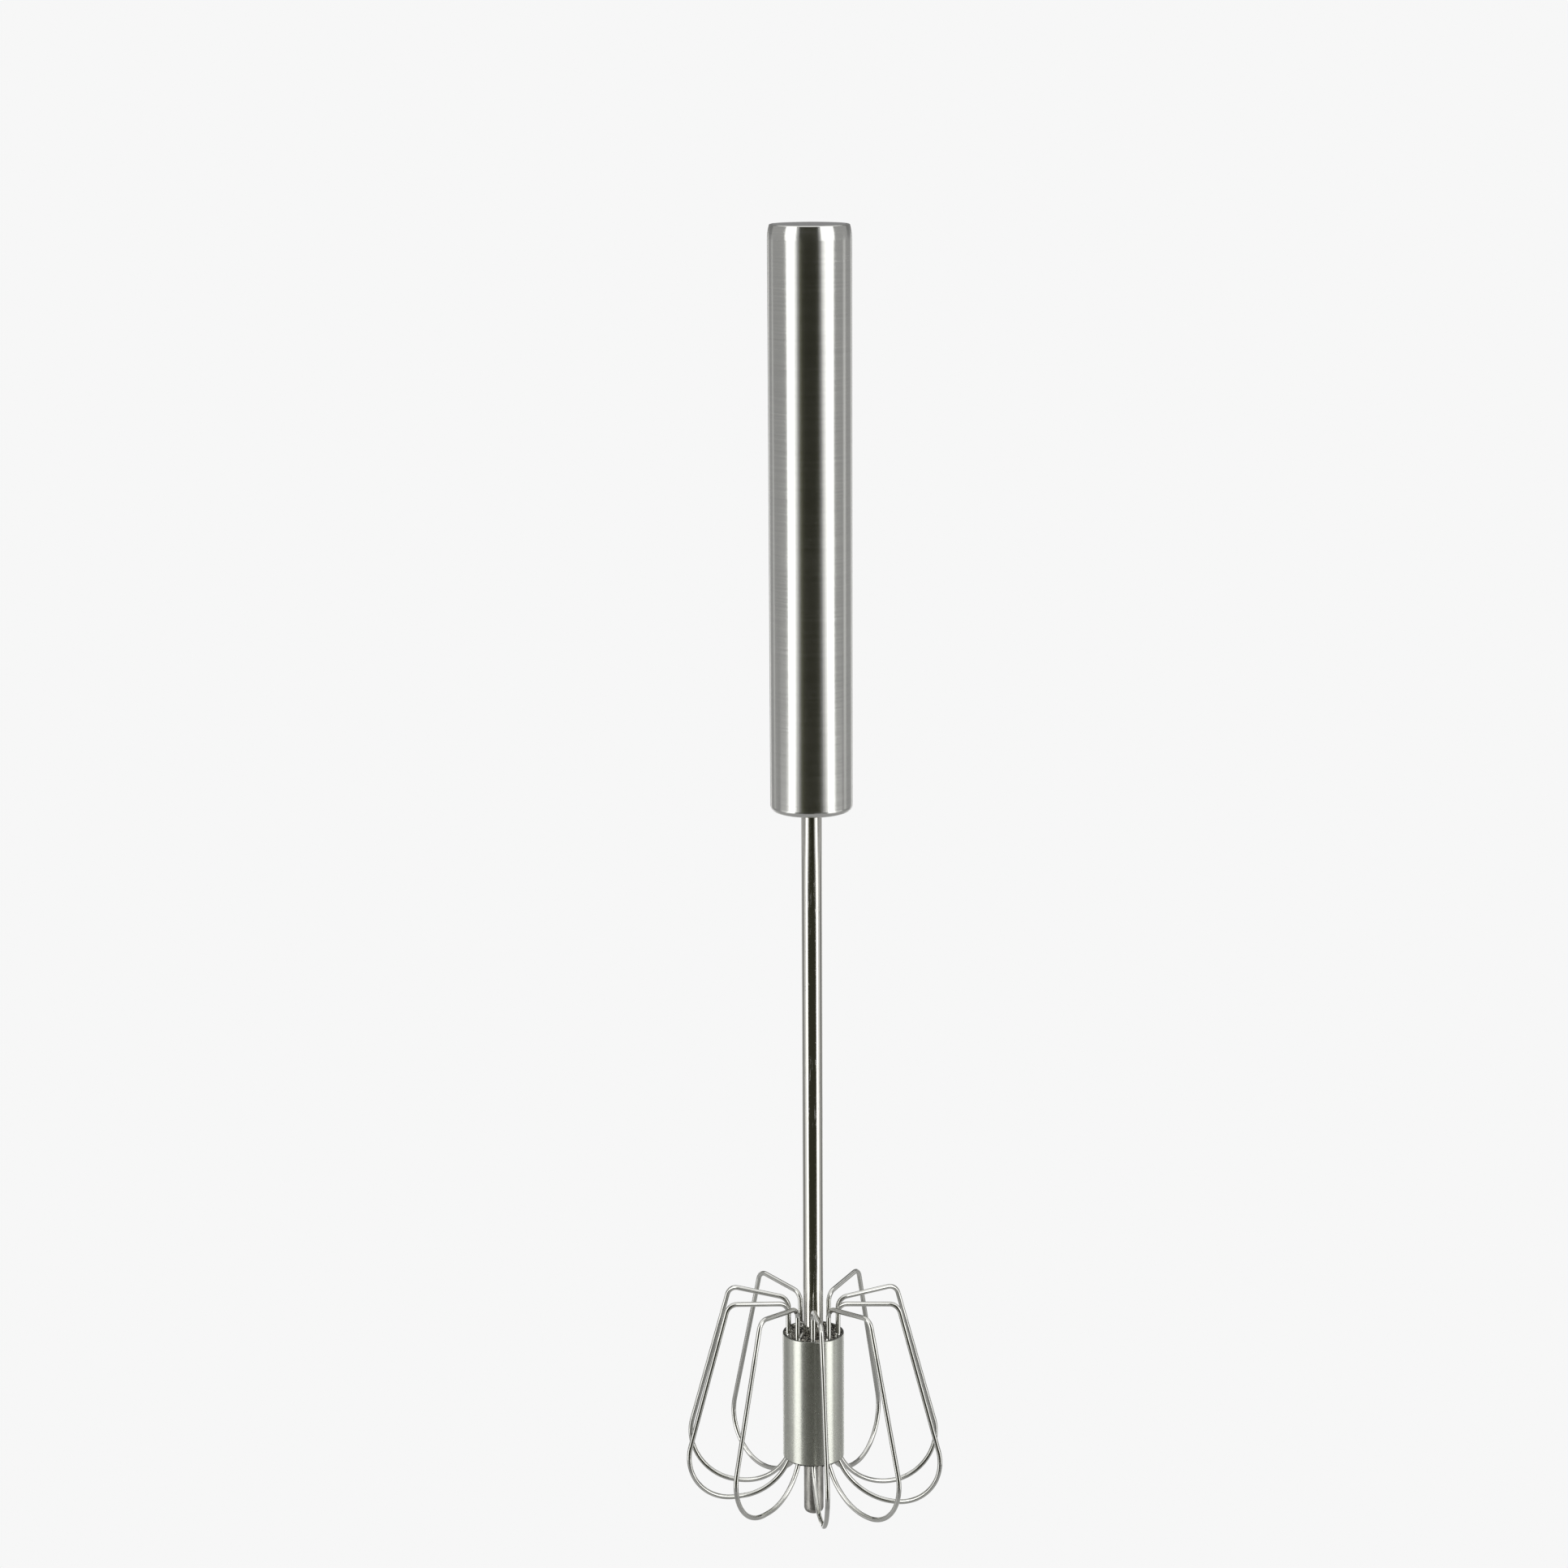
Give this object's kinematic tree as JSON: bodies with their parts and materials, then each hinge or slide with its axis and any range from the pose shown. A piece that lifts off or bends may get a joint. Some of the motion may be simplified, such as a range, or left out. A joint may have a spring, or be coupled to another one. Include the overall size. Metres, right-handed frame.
{
  "type": "push-down rotary egg beater",
  "caption": "Hand-held egg beater: pushing the straight metal handle down its thin shaft turns a wire-loop whisk head, and a spring lifts it again.",
  "frame": {"origin": "on the shaft's axis, at the middle of the handle's length", "axes": "+Z along the axis towards the palm end of the handle; -Y is the side the first wire loop stands on"},
  "size_m": [0.0642, 0.0669, 0.324],
  "materials": {
    "brushed_handle": "brushed round the handle",
    "brushed_sleeve": "satin",
    "polished_shaft": "polished, lightly scratched",
    "polished_wire": "polished",
    "spring_steel": "drawn",
    "dark_core": "dark, as machined",
    "nylon": "moulded",
    "rubber": "matt"
  },
  "bodies": {
    "handle": {"handle_tube": "brushed_handle", "top_cap": "brushed_handle", "anchor_plug": "nylon", "anchor_pin": "spring_steel", "spiral_strip": "spring_steel", "guide_bush": "nylon", "buffer_ring": "rubber", "return_spring": "spring_steel"},
    "carriage": {"thrust_washer": "spring_steel"},
    "whisk": {"drive_nut": "nylon", "nut_pin_front": "spring_steel", "nut_pin_back": "spring_steel", "shaft_tube": "polished_shaft", "foot_plug": "polished_shaft", "head_sleeve": "brushed_sleeve", "wire_hub": "dark_core", "wire_loop_01": "polished_wire", "wire_loop_02": "polished_wire", "wire_loop_03": "polished_wire", "wire_loop_04": "polished_wire", "wire_loop_05": "polished_wire", "wire_loop_06": "polished_wire", "wire_loop_07": "polished_wire", "wire_loop_08": "polished_wire", "wire_loop_09": "polished_wire", "wire_loop_10": "polished_wire"}
  },
  "joints": [
    {"name": "plunge", "type": "slide", "parent": "handle", "child": "carriage", "axis": [0, 0, 1], "range_m": [0, 0.065], "stiffness_N_per_m": 120, "springref_m": -0.03, "deforming": ["return_spring"]},
    {"name": "spin", "type": "hinge", "parent": "carriage", "child": "whisk", "pos_m": [0, 0, 0], "axis": [0, 0, 1], "range_deg": [0, 720]}
  ],
  "couplings": [
    {"joint": "spin", "follows": "plunge", "rad_per_m": 193.33}
  ]
}
